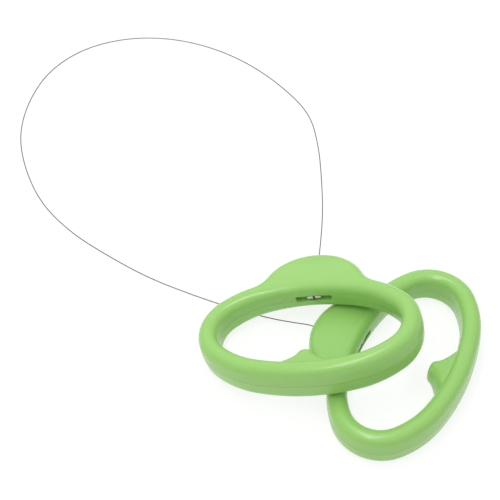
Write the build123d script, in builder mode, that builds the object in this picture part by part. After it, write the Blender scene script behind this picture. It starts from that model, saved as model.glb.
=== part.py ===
"""Wire clay cutter: two hollow moulded ring handles and the steel wire between them.

The model lies as it is put down on a bench: handle B flat, handle A leaning on it, and the wire
in one wide loop on the bench behind them. Millimetres, +Z up, bench at Z = 0.
Handle frame: X along the ring, Y from the finger bar to the lobe, Z through the thickness,
with the moulding's parting plane at Z = 0.
"""

import math
import os

from build123d import *

os.makedirs("parts", exist_ok=True)

# Plan of the ring, measured on the middle line of its bar: a quarter is three tangent arcs,
# the middle one between two angles of its normal
RING_HALF_LENGTH = 45.3
RING_HALF_WIDTH = 24.8
FLANK_RADIUS = 41.9
FLANK_ANGLES = (49.0, 76.4)
BAR_HALF_WIDTH = 4.6

# Lobe on the wire's side of the ring, an arc with a hollow blend into the ring
LOBE_RADIUS = 25.2
LOBE_CENTRE_Y = 18.8
LOBE_BLEND_RADIUS = 12.0
LOBE_TIP_Y = LOBE_CENTRE_Y + LOBE_RADIUS

# Thickness: the two faces close towards the lobe, and bend closer still over it; the sides
# lean in from the parting plane, in degrees
HALF_THICKNESS = 8.2
THICKNESS_SLOPE = 0.045
LOBE_BEND_Y = 30.0
LOBE_BEND_RADIUS = 70.0
SIDE_LEAN = 4.0
EDGE_ROUND = 4.0
SEAM_DEPTH = 0.07
WALL = 2.0

# Finger rest inside the ring: sections from its root on the bar's middle line to its tip, with
# their places and sizes as shares of its reach and of the root's half width and half height
REST_REACH = 13.2
REST_HALF_WIDTH = 19.0
REST_HALF_HEIGHT = 7.8
REST_REACH_SHARES = (0.0, 0.35, 0.58, 0.8, 1.0)
REST_WIDTH_SHARES = (1.0, 0.74, 0.46, 0.28, 0.18)
REST_HEIGHT_SHARES = (1.0, 0.9, 0.79, 0.71, 0.66)
REST_CORNER_SHARE = 0.95
REST_TIP_ROUND = 2.8

# Slot in the lobe-side bar, half of it in each shell
SLOT_LENGTH = 16.4
SLOT_HEIGHT = 3.6
SLOT_DEPTH = 2.5
SLOT_WALL = 1.6
SLOT_CORNER = 0.25
SLOT_FLOOR_Y = RING_HALF_WIDTH - BAR_HALF_WIDTH + SLOT_DEPTH

# Wire, and its channel from the slot to the lobe's tip
WIRE_RADIUS = 0.25
WIRE_CLEARANCE = 0.08
CHANNEL_RADIUS = WIRE_RADIUS + WIRE_CLEARANCE
CHANNEL_RIB_WIDTH = 3.2
FLARE_RADIUS = 1.3
FLARE_DEPTH = 0.9
EXIT_Y = LOBE_TIP_Y - FLARE_DEPTH

# Locating pins of the lower shell, in the sockets of the upper one
PIN_RADIUS = 0.9
PIN_HEIGHT = 2.0
PIN_CLEARANCE = 0.05
PIN_DEPTH_SPARE = 0.3
BOSS_OVERLAP = 0.4
BOSS_RADIUS = BAR_HALF_WIDTH - WALL + BOSS_OVERLAP
PIN_ANGLE = 30.0

# End bar, a short steel tube that the wire is wound round
END_BAR_LENGTH = 6.2
END_BAR_RADIUS = 0.75
END_BAR_BORE_RADIUS = 0.4
SEAT_GAP = 0.05
WRAP_TURNS = 3
WRAP_PITCH = 0.46
WRAP_RADIUS = END_BAR_RADIUS + WIRE_RADIUS
WRAP_OUTER_RADIUS = WRAP_RADIUS + WIRE_RADIUS
END_BAR_Y = SLOT_FLOOR_Y - SEAT_GAP - WRAP_OUTER_RADIUS

# Where the handles lie on the bench, in millimetres and degrees
HANDLE_A_PLACE = (-14.01, 5.06, 19.57)
HANDLE_A_YAW = -5.75
HANDLE_A_PITCH = -14.0
HANDLE_A_ROLL = -5.25
HANDLE_B_PLACE = (27.99, -1.84)
HANDLE_B_YAW = 63.4

# Free stretch of the wire, between the straight leads that leave the two exits
WIRE_LEADS_OUT = {"a": 12.0, "b": 3.0}
WIRE_ROUTE = (
    (-5.2, 83.1, 7.6),
    (-4.9, 106.7, 4.2),
    (-5.4, 130.3, 1.3),
    (-9.0, 154.2, 0.3),
    (-23.1, 173.9, 0.3),
    (-40.1, 190.6, 0.3),
    (-60.5, 203.4, 0.3),
    (-83.4, 210.7, 0.3),
    (-107.4, 210.9, 0.3),
    (-130.3, 202.7, 0.3),
    (-147.6, 185.8, 0.3),
    (-156.3, 163.1, 0.3),
    (-158.6, 139.2, 0.3),
    (-152.9, 115.9, 0.3),
    (-142.7, 94.1, 0.3),
    (-126.8, 76.2, 0.3),
    (-107.6, 61.9, 0.3),
    (-88.0, 49.2, 0.3),
    (-66.6, 39.2, 0.3),
    (-47.6, 31.2, 0.8),
    (-31.2, 24.8, 2.4),
    (-19.2, 20.6, 4.8),
)
ARC_SHARE = 0.45

OVERRUN = 1.0
HALF_TURN = 180


def polar(centre, radius, angle):
    """Point at an angle in degrees on a circle."""
    turn = math.radians(angle)
    return centre[0] + radius * math.cos(turn), centre[1] + radius * math.sin(turn)


def bearing(start, end):
    """Direction from one point to another, in degrees."""
    return math.degrees(math.atan2(end[1] - start[1], end[0] - start[0]))


def oval_arcs():
    """Quarter of the ring's middle line, as centre, radius and the two angles of each arc."""
    first, last = FLANK_ANGLES
    far, near = polar((0, 0), FLANK_RADIUS, first), polar((0, 0), FLANK_RADIUS, last)
    span_x = RING_HALF_LENGTH - far[0] + near[0]
    span_y = RING_HALF_WIDTH - near[1] + far[1]
    end_x, end_y = 1 - polar((0, 0), 1, first)[0], polar((0, 0), 1, first)[1]
    flat_x, flat_y = polar((0, 0), 1, last)[0], 1 - polar((0, 0), 1, last)[1]
    base = end_x * flat_y - end_y * flat_x
    end_radius = (span_x * flat_y - span_y * flat_x) / base
    flat_radius = (span_y * end_x - span_x * end_y) / base
    end_centre = (RING_HALF_LENGTH - end_radius, 0)
    flat_centre = (0, RING_HALF_WIDTH - flat_radius)
    flank_centre = polar(end_centre, end_radius - FLANK_RADIUS, first)
    return (
        (end_centre, end_radius, 0, first),
        (flank_centre, FLANK_RADIUS, first, last),
        (flat_centre, flat_radius, last, 90),
    )


def lobe_arcs(inset):
    """Right half of the outer edge on the lobe's side: shoulder, hollow blend and lobe."""
    centre, radius, first, _ = oval_arcs()[1]
    shoulder = radius + BAR_HALF_WIDTH - inset
    blend = LOBE_BLEND_RADIUS + inset
    lobe = LOBE_RADIUS - inset
    lobe_centre = (0, LOBE_CENTRE_Y)
    apart = math.dist(centre, lobe_centre)
    to_shoulder, to_lobe = shoulder + blend, lobe + blend
    share = (to_shoulder**2 - to_lobe**2 + apart**2) / (2 * apart * to_shoulder)
    direction = bearing(centre, lobe_centre) - math.degrees(math.acos(share))
    blend_centre = polar(centre, to_shoulder, direction)
    lobe_start = bearing(lobe_centre, blend_centre)
    return (
        (centre, shoulder, first, direction),
        (blend_centre, blend, direction + HALF_TURN, lobe_start + HALF_TURN),
        (lobe_centre, lobe, lobe_start, 90),
    )


def grown(arcs, growth):
    """The same arcs, moved out along their normals."""
    return [(centre, radius + growth, start, end) for centre, radius, start, end in arcs]


def draw(arcs):
    """Draws arcs into the open line, and their mirror image in X."""
    for centre, radius, start, end in arcs:
        CenterArc(centre, radius, start, end - start)
        CenterArc((-centre[0], centre[1]), radius, HALF_TURN - start, start - end)


def flipped(arcs):
    """Mirror image of arcs in Y."""
    return [((c[0], -c[1]), radius, -start, -end) for c, radius, start, end in arcs]


def room_below(inset):
    """All that lies under a half's top face: sloping over the ring, bent down over the lobe."""
    slope = math.atan(THICKNESS_SLOPE)
    front = -RING_HALF_WIDTH - BAR_HALF_WIDTH - OVERRUN
    back = LOBE_TIP_Y + OVERRUN
    level = HALF_THICKNESS - inset
    start = Vector(front, level - THICKNESS_SLOPE * front)
    bend = Vector(LOBE_BEND_Y, level - THICKNESS_SLOPE * LOBE_BEND_Y)
    radius = LOBE_BEND_RADIUS - inset
    first = math.degrees(math.pi / 2 - slope)
    centre = bend - Vector(math.sin(slope), math.cos(slope)) * radius
    last = math.degrees(math.acos((back - centre.X) / radius))
    with BuildPart() as room:
        with BuildSketch(Plane.YZ):
            with BuildLine():
                Line(start, bend)
                arc = CenterArc(centre, radius, first, last - first)
                Polyline(arc @ 1, (back, -level), (front, -level), start)
            make_face()
        extrude(amount=2 * RING_HALF_LENGTH, both=True)
    return room.part


def ring_plan(inset):
    """Plan of the ring and lobe, drawn in by inset."""
    outside = grown(oval_arcs(), BAR_HALF_WIDTH - inset)
    inside = grown(oval_arcs(), inset - BAR_HALF_WIDTH)
    with BuildSketch() as plan:
        with BuildLine():
            draw(flipped(outside))
            draw(outside[:1])
            draw(lobe_arcs(inset))
        make_face()
        with BuildLine():
            draw(inside)
            draw(flipped(inside))
        make_face(mode=Mode.SUBTRACT)
    return plan.sketch


def ring_half(inset):
    """Upper half of the ring and lobe, solid, drawn in by inset on every side."""
    with BuildPart() as half:
        add(ring_plan(inset))
        extrude(amount=2 * HALF_THICKNESS, taper=SIDE_LEAN)
        add(room_below(inset), mode=Mode.INTERSECT)
        above = half.edges().filter_by_position(Axis.Z, WALL, 2 * HALF_THICKNESS)
        fillet(above.filter_by(GeomType.LINE, reverse=True), EDGE_ROUND - inset)
    return half.part


def finger_rest():
    """Upper half of the rounded fin that parts the fingers, its root inside the bar."""
    with BuildPart() as rest:
        for reach, width, height in zip(REST_REACH_SHARES, REST_WIDTH_SHARES, REST_HEIGHT_SHARES):
            half_width = width * REST_HALF_WIDTH
            half_height = height * REST_HALF_HEIGHT
            corner = REST_CORNER_SHARE * min(half_width, half_height)
            with BuildSketch(Plane.XZ.offset(RING_HALF_WIDTH - reach * REST_REACH)):
                RectangleRounded(2 * half_width, 2 * half_height, corner)
        loft()
        tip = rest.faces().sort_by(Axis.Y)[-1]
        fillet(tip.edges(), REST_TIP_ROUND)
        split(bisect_by=Plane.XY, keep=Keep.TOP)
    return rest.part


def pin_places():
    """Where the locating pins stand: on the middle line of the bar, round its two ends."""
    centre, radius, _, _ = oval_arcs()[0]
    x, y = polar(centre, radius, PIN_ANGLE)
    return GridLocations(2 * x, 2 * y, 2, 2)


def hollow():
    """Space inside a half: the ring drawn in by the wall, less its ribs and bosses."""
    height = 2 * HALF_THICKNESS
    rib_length = LOBE_TIP_Y - RING_HALF_WIDTH + BAR_HALF_WIDTH
    with BuildPart() as space:
        add(ring_half(WALL))
        with Locations((0, RING_HALF_WIDTH - BAR_HALF_WIDTH, 0)):
            Box(
                SLOT_LENGTH + 2 * SLOT_WALL,
                SLOT_DEPTH + SLOT_WALL,
                height,
                align=(Align.CENTER, Align.MIN, Align.CENTER),
                mode=Mode.SUBTRACT,
            )
            Box(
                CHANNEL_RIB_WIDTH,
                rib_length,
                height,
                align=(Align.CENTER, Align.MIN, Align.CENTER),
                mode=Mode.SUBTRACT,
            )
        with pin_places():
            Cylinder(BOSS_RADIUS, height, mode=Mode.SUBTRACT)
    return space.part


def wire_way():
    """Space for the wire and its end bar: the slot, the channel and the flared exit."""
    mouth_y = RING_HALF_WIDTH - BAR_HALF_WIDTH - OVERRUN
    with BuildPart() as way:
        with Locations((0, mouth_y, 0)):
            Box(
                SLOT_LENGTH,
                SLOT_FLOOR_Y - mouth_y,
                SLOT_HEIGHT,
                align=(Align.CENTER, Align.MIN, Align.CENTER),
            )
        fillet(way.edges().filter_by(Axis.Y), SLOT_CORNER)
        with BuildSketch(Plane.XZ.offset(-SLOT_FLOOR_Y)):
            Circle(CHANNEL_RADIUS)
        extrude(amount=SLOT_FLOOR_Y - EXIT_Y)
        with BuildSketch(Plane.XY):
            with BuildLine():
                Polyline(
                    (0, EXIT_Y),
                    (CHANNEL_RADIUS, EXIT_Y),
                    (FLARE_RADIUS, LOBE_TIP_Y),
                    (FLARE_RADIUS, LOBE_TIP_Y + OVERRUN),
                    (0, LOBE_TIP_Y + OVERRUN),
                    close=True,
                )
            make_face()
        revolve(axis=Axis.Y)
    return way.part


def half_shell():
    """Upper shell before its sockets: stepped seam, walls, ribs, bosses, slot and channel."""
    with BuildPart() as shell:
        add(ring_half(0))
        split(bisect_by=Plane.XY.offset(SEAM_DEPTH), keep=Keep.TOP)
        add(ring_plan(SEAM_DEPTH))
        extrude(amount=SEAM_DEPTH)
        add(finger_rest())
        add(hollow(), mode=Mode.SUBTRACT)
        add(wire_way(), mode=Mode.SUBTRACT)
    return shell.part


def write(shape, name):
    """Names a finished piece and writes it."""
    shape.label = name
    export_step(shape, f"parts/{name}.step")


def handle_b_place():
    """Handle B lies on its sloping lower face, with its lobe to the left."""
    slope = math.degrees(math.atan(THICKNESS_SLOPE))
    height = HALF_THICKNESS * math.cos(math.radians(slope))
    turn = Location((*HANDLE_B_PLACE, height), (0, 0, HANDLE_B_YAW))
    return turn * Location((0, 0, 0), (-slope, 0, 0))


def handle_a_place():
    """Handle A leans with its left end on the bench and its right end on handle B."""
    turn = Location(HANDLE_A_PLACE, (0, 0, HANDLE_A_YAW))
    pitch = Location((0, 0, 0), (0, HANDLE_A_PITCH, 0))
    return turn * pitch * Location((0, 0, 0), (HANDLE_A_ROLL, 0, 0))


PLACES = {"a": handle_a_place(), "b": handle_b_place()}
BASE_SHELL = half_shell()

with BuildPart() as upper_shell:
    add(BASE_SHELL)
    with pin_places():
        Cylinder(
            PIN_RADIUS + PIN_CLEARANCE,
            PIN_HEIGHT + PIN_DEPTH_SPARE,
            align=(Align.CENTER, Align.CENTER, Align.MIN),
            mode=Mode.SUBTRACT,
        )

with BuildPart() as lower_shell:
    add(mirror(BASE_SHELL, about=Plane.XY, mode=Mode.PRIVATE))
    with pin_places():
        Cylinder(PIN_RADIUS, PIN_HEIGHT, align=(Align.CENTER, Align.CENTER, Align.MIN))

with BuildPart() as end_bar:
    with BuildSketch(Plane.YZ.offset(-END_BAR_LENGTH / 2)):
        with Locations((END_BAR_Y, 0)):
            Circle(END_BAR_RADIUS)
            Circle(END_BAR_BORE_RADIUS, mode=Mode.SUBTRACT)
    extrude(amount=END_BAR_LENGTH)

# The wire's end, wound round the end bar: turns that touch, as one ribbed ring
with BuildPart() as wire_wrap:
    with BuildSketch(Plane.XY):
        with Locations((0, END_BAR_Y + WRAP_RADIUS)):
            with GridLocations(WRAP_PITCH, 0, WRAP_TURNS, 1):
                Circle(WIRE_RADIUS)
    revolve(axis=Axis((0, END_BAR_Y, 0), (1, 0, 0)))


def wire_lead(end_y):
    """Straight wire in the channel, from the wound end to the exit."""
    start_y = END_BAR_Y + WRAP_OUTER_RADIUS + SEAT_GAP
    with BuildPart() as lead:
        with BuildSketch(Plane.XZ.offset(-start_y)):
            Circle(WIRE_RADIUS)
        extrude(amount=start_y - end_y)
    return lead.part


def tube_radii(points):
    """Radius of the arc at each corner, as large as its two runs allow."""
    radii = []
    for before, corner, after in zip(points, points[1:], points[2:]):
        turn = math.radians((corner - before).get_angle(after - corner))
        shorter = min((corner - before).length, (after - corner).length)
        radii.append(ARC_SHARE * shorter / math.tan(turn / 2))
    return radii


def wire_points():
    """The free wire's route, with straight leads out of both exits."""
    leads = {}
    for side, place in PLACES.items():
        ends = (EXIT_Y, EXIT_Y + WIRE_LEADS_OUT[side])
        leads[side] = [(place * Location((0, y, 0))).position for y in ends]
    return [*leads["a"], *(Vector(*p) for p in WIRE_ROUTE), *reversed(leads["b"])]


POINTS = wire_points()
RADII = tube_radii(POINTS)
with BuildPart() as cutting_wire:
    with BuildLine():
        route = FilletPolyline(*POINTS, radius=RADII)
    with BuildSketch(Plane(origin=POINTS[0], z_dir=POINTS[1] - POINTS[0])):
        Circle(WIRE_RADIUS)
    sweep(path=route)

for side, place in PLACES.items():
    write(upper_shell.part.moved(place), f"handle_{side}_upper_shell")
    write(lower_shell.part.moved(place), f"handle_{side}_lower_shell")
    write(end_bar.part.moved(place), f"end_bar_{side}")
    write(wire_wrap.part.moved(place), f"wire_wrap_{side}")
write(wire_lead(EXIT_Y - WIRE_RADIUS).moved(PLACES["a"]), "wire_lead_a")
write(wire_lead(EXIT_Y).moved(PLACES["b"]), "wire_lead_b")
write(cutting_wire.part, "cutting_wire")

section = math.pi * WIRE_RADIUS**2
print("wire length", round(route.length, 1))
print("wire volume over section times length", round(cutting_wire.part.volume / section / route.length, 4))
print("smallest arc radius", round(min(RADII), 1), "in diameters", round(min(RADII) / WIRE_RADIUS / 2, 1))
print("radii", [round(r, 1) for r in RADII])
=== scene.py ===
"""Looks of the wire clay cutter: green plastic handles, steel wire, white sweep.

Metres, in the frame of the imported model: +Z up, bench at Z = 0.
"""

import math

import bpy
from mathutils import Matrix, Vector


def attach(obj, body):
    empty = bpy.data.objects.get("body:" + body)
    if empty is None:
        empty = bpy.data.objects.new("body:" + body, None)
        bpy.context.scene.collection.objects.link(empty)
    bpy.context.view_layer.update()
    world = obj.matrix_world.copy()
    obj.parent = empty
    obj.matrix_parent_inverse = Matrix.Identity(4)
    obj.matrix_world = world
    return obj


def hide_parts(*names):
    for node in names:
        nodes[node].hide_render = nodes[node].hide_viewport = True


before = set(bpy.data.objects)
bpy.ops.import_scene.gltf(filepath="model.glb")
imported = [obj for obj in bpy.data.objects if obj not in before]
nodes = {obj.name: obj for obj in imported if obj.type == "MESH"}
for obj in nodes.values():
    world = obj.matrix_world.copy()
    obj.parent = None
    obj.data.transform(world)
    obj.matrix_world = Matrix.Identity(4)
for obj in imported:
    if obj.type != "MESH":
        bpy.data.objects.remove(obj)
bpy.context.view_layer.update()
scene = bpy.context.scene
scene.view_settings.view_transform = "Standard"

# Camera, worked out from the outlines of both handles and the wire in the photograph
CAMERA_PLACE = (-0.0403, -0.31295, 0.4986)
CAMERA_AIM = (-0.0403, 0.06595, 0.0)
CAMERA_LENS_MM = 94.3
SENSOR_MM = 36.0

camera_data = bpy.data.cameras.new("camera")
camera_data.lens = CAMERA_LENS_MM
camera_data.sensor_width = SENSOR_MM
camera = bpy.data.objects.new("camera", camera_data)
aim = Vector(CAMERA_AIM) - Vector(CAMERA_PLACE)
camera.location = CAMERA_PLACE
camera.rotation_euler = aim.to_track_quat("-Z", "Y").to_euler()
scene.collection.objects.link(camera)
scene.camera = camera

# Cutting wire: the route of part.py, in metres, from handle A's exit to handle B's
WIRE_DIAMETER = 0.0005
WIRE_ROUTE = (
    (-0.00876, 0.04767, 0.01574),
    (-0.0073, 0.05953, 0.01468),
    (-0.0052, 0.0831, 0.0076),
    (-0.0049, 0.1067, 0.0042),
    (-0.0054, 0.1303, 0.0013),
    (-0.0090, 0.1542, 0.0003),
    (-0.0231, 0.1739, 0.0003),
    (-0.0401, 0.1906, 0.0003),
    (-0.0605, 0.2034, 0.0003),
    (-0.0834, 0.2107, 0.0003),
    (-0.1074, 0.2109, 0.0003),
    (-0.1303, 0.2027, 0.0003),
    (-0.1476, 0.1858, 0.0003),
    (-0.1563, 0.1631, 0.0003),
    (-0.1586, 0.1392, 0.0003),
    (-0.1529, 0.1159, 0.0003),
    (-0.1427, 0.0941, 0.0003),
    (-0.1268, 0.0762, 0.0003),
    (-0.1076, 0.0619, 0.0003),
    (-0.0880, 0.0492, 0.0003),
    (-0.0666, 0.0392, 0.0003),
    (-0.0476, 0.0312, 0.0008),
    (-0.0312, 0.0248, 0.0024),
    (-0.0192, 0.0206, 0.0048),
    (-0.01319, 0.01878, 0.00612),
    (-0.01051, 0.01744, 0.00625),
)
CURVE_ORDER = 3
CURVE_STEPS = 12
BEVEL_STEPS = 3


def nurbs_wire(name, points, diameter):
    """Round wire along a smooth line near these points.

    Each point's radius is the wire's and the bevel only its unit, so the curve's box is true.
    """
    data = bpy.data.curves.new(name, "CURVE")
    data.dimensions = "3D"
    data.bevel_depth = 1.0
    data.bevel_resolution = BEVEL_STEPS
    data.resolution_u = CURVE_STEPS
    data.use_fill_caps = True
    line = data.splines.new("NURBS")
    line.points.add(len(points) - 1)
    for spot, place in zip(line.points, points):
        spot.co = (*place, 1)
        spot.radius = diameter / 2
    line.order_u = CURVE_ORDER
    line.use_endpoint_u = True
    piece = bpy.data.objects.new(name, data)
    scene.collection.objects.link(piece)
    return piece


wire = nurbs_wire("steel_wire", WIRE_ROUTE, WIRE_DIAMETER)
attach(wire, "handle_b")
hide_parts("cutting_wire")

# Where the handles lie, as in part.py, and the end bar's place in a handle
HANDLE_A_PLACE = (-0.01401, 0.00506, 0.01957)
HANDLE_A_TURNS = (-5.75, -14.0, -5.25)
HANDLE_B_PLACE = (0.02799, -0.00184, 0.00819)
HANDLE_B_TURNS = (63.4, 0.0, -2.58)
END_BAR_Y = 0.0214
END_BAR_RADIUS = 0.00075
WRAP_TURNS = 2
WRAP_PITCH = 0.00052
WRAP_STEPS = 12


def lying(place, turns):
    """Pose of a handle, from its place and its yaw, pitch and roll in degrees."""
    pose = Matrix.Translation(place)
    for angle, axis in zip(turns, "ZYX"):
        pose = pose @ Matrix.Rotation(math.radians(angle), 4, axis)
    return pose


def wound_end(side, pose):
    """The wire's end, wound round the end bar, in place of the ribbed ring."""
    radius = (END_BAR_RADIUS + WIRE_DIAMETER / 2) / math.cos(math.pi / WRAP_STEPS)
    points = []
    for step in range(WRAP_TURNS * WRAP_STEPS + 1):
        turns = step / WRAP_STEPS
        angle = math.tau * turns
        x = WRAP_PITCH * (turns - WRAP_TURNS / 2)
        local = Vector((x, END_BAR_Y + radius * math.cos(angle), radius * math.sin(angle)))
        points.append(pose @ local)
    coil = nurbs_wire(f"wound_wire_{side}", points, WIRE_DIAMETER)
    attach(coil, f"end_bar_{side}")
    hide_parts(f"wire_wrap_{side}")
    return coil


coils = (
    wound_end("a", lying(HANDLE_A_PLACE, HANDLE_A_TURNS)),
    wound_end("b", lying(HANDLE_B_PLACE, HANDLE_B_TURNS)),
)


def new_material(name, colour, roughness, metallic=0.0):
    """Material of one colour, and its shader node."""
    material = bpy.data.materials.new(name)
    material.use_nodes = True
    shader = material.node_tree.nodes["Principled BSDF"]
    shader.inputs["Base Color"].default_value = (*colour, 1)
    shader.inputs["Roughness"].default_value = roughness
    shader.inputs["Metallic"].default_value = metallic
    return material, shader


def dress(obj, material):
    """Gives a piece one material on all its faces."""
    obj.data.materials.clear()
    obj.data.materials.append(material)


# Glossy moulded plastic that lets a little light through, dark wire and bright end bars
PLASTIC_GREEN = (0.285, 0.545, 0.138)
PLASTIC_ROUGHNESS = 0.26
PLASTIC_DEPTH = 0.003
PLASTIC_DEPTH_SHARES = (0.5, 1.0, 0.25)
PLASTIC_DEPTH_WEIGHT = 0.3
WIRE_GREY = (0.19, 0.17, 0.155)
WIRE_ROUGHNESS = 0.35
BAR_GREY = (0.74, 0.72, 0.72)
BAR_ROUGHNESS = 0.25

plastic, plastic_shader = new_material("green_plastic", PLASTIC_GREEN, PLASTIC_ROUGHNESS)
plastic_shader.inputs["Subsurface Weight"].default_value = PLASTIC_DEPTH_WEIGHT
plastic_shader.inputs["Subsurface Radius"].default_value = PLASTIC_DEPTH_SHARES
plastic_shader.inputs["Subsurface Scale"].default_value = PLASTIC_DEPTH
wire_steel, _ = new_material("wire_steel", WIRE_GREY, WIRE_ROUGHNESS, metallic=1.0)
bar_steel, _ = new_material("bar_steel", BAR_GREY, BAR_ROUGHNESS, metallic=1.0)

for side in ("a", "b"):
    for part in ("upper", "lower"):
        dress(nodes[f"handle_{side}_{part}_shell"], plastic)
    dress(nodes[f"end_bar_{side}"], bar_steel)
    dress(nodes[f"wire_lead_{side}"], wire_steel)
for coil in coils:
    dress(coil, wire_steel)
dress(wire, wire_steel)

# White sweep: a floor that glows like a light table, which camera and reflections see
# almost white, with a faint shadow left on it
WHITE = (1, 1, 1, 1)
FLOOR_HALF = 3.0
FLOOR_GREY = (0.55, 0.55, 0.55)
FLOOR_ROUGHNESS = 0.9
FLOOR_GLOW = 0.5
FLOOR_WHITE_SHARE = 0.6
floor_data = bpy.data.meshes.new("floor")
SQUARE = ((-1, -1), (1, -1), (1, 1), (-1, 1))
corners = [(x * FLOOR_HALF, y * FLOOR_HALF, 0) for x, y in SQUARE]
floor_data.from_pydata(corners, [], [(0, 1, 2, 3)])
floor = bpy.data.objects.new("floor", floor_data)
scene.collection.objects.link(floor)
floor_paint, floor_shader = new_material("floor_paint", FLOOR_GREY, FLOOR_ROUGHNESS)
floor_shader.inputs["Specular IOR Level"].default_value = 0.0
floor_shader.inputs["Emission Color"].default_value = WHITE
floor_shader.inputs["Emission Strength"].default_value = FLOOR_GLOW
tree = floor_paint.node_tree
rays = tree.nodes.new("ShaderNodeLightPath")
seen = tree.nodes.new("ShaderNodeMath")
seen.operation = "MAXIMUM"
share = tree.nodes.new("ShaderNodeMath")
share.operation = "MULTIPLY"
share.inputs[1].default_value = FLOOR_WHITE_SHARE
glow = tree.nodes.new("ShaderNodeEmission")
glow.inputs["Color"].default_value = WHITE
blend = tree.nodes.new("ShaderNodeMixShader")
tree.links.new(rays.outputs["Is Camera Ray"], seen.inputs[0])
tree.links.new(rays.outputs["Is Glossy Ray"], seen.inputs[1])
tree.links.new(seen.outputs[0], share.inputs[0])
tree.links.new(share.outputs[0], blend.inputs[0])
tree.links.new(floor_shader.outputs[0], blend.inputs[1])
tree.links.new(glow.outputs[0], blend.inputs[2])
tree.links.new(blend.outputs[0], tree.nodes["Material Output"].inputs["Surface"])
dress(floor, floor_paint)

# Soft studio light: a room that grows brighter towards the ceiling, and two strip lights, as
# name, place, width, depth and watts
ROOM_LEVEL = 0.33
ROOM_SLOPE = (-0.12, 0.15, 0.9)
STRIP_LIGHTS = (
    ("top_strip", (-0.2, 0.05, 1.0), 0.9, 0.07, 3.3),
    ("back_strip", (-0.3, 0.9, 0.5), 0.9, 0.1, 0.5),
)
world = bpy.data.worlds.new("studio")
world.use_nodes = True
room = world.node_tree
sky = room.nodes["Background"]
sky.inputs["Color"].default_value = WHITE
direction = room.nodes.new("ShaderNodeTexCoord")
slope = room.nodes.new("ShaderNodeVectorMath")
slope.operation = "DOT_PRODUCT"
slope.inputs[1].default_value = ROOM_SLOPE
level = room.nodes.new("ShaderNodeMath")
level.operation = "ADD"
level.inputs[1].default_value = ROOM_LEVEL
room.links.new(direction.outputs["Generated"], slope.inputs[0])
room.links.new(slope.outputs["Value"], level.inputs[0])
room.links.new(level.outputs[0], sky.inputs["Strength"])
scene.world = world


def strip_light(name, place, width, depth, watts):
    """Rectangular light that faces the handles."""
    data = bpy.data.lights.new(name, "AREA")
    data.shape = "RECTANGLE"
    data.size = width
    data.size_y = depth
    data.energy = watts
    lamp = bpy.data.objects.new(name, data)
    lamp.location = place
    lamp.rotation_euler = (-Vector(place)).to_track_quat("-Z", "Y").to_euler()
    scene.collection.objects.link(lamp)


for strip in STRIP_LIGHTS:
    strip_light(*strip)

bpy.context.view_layer.update()
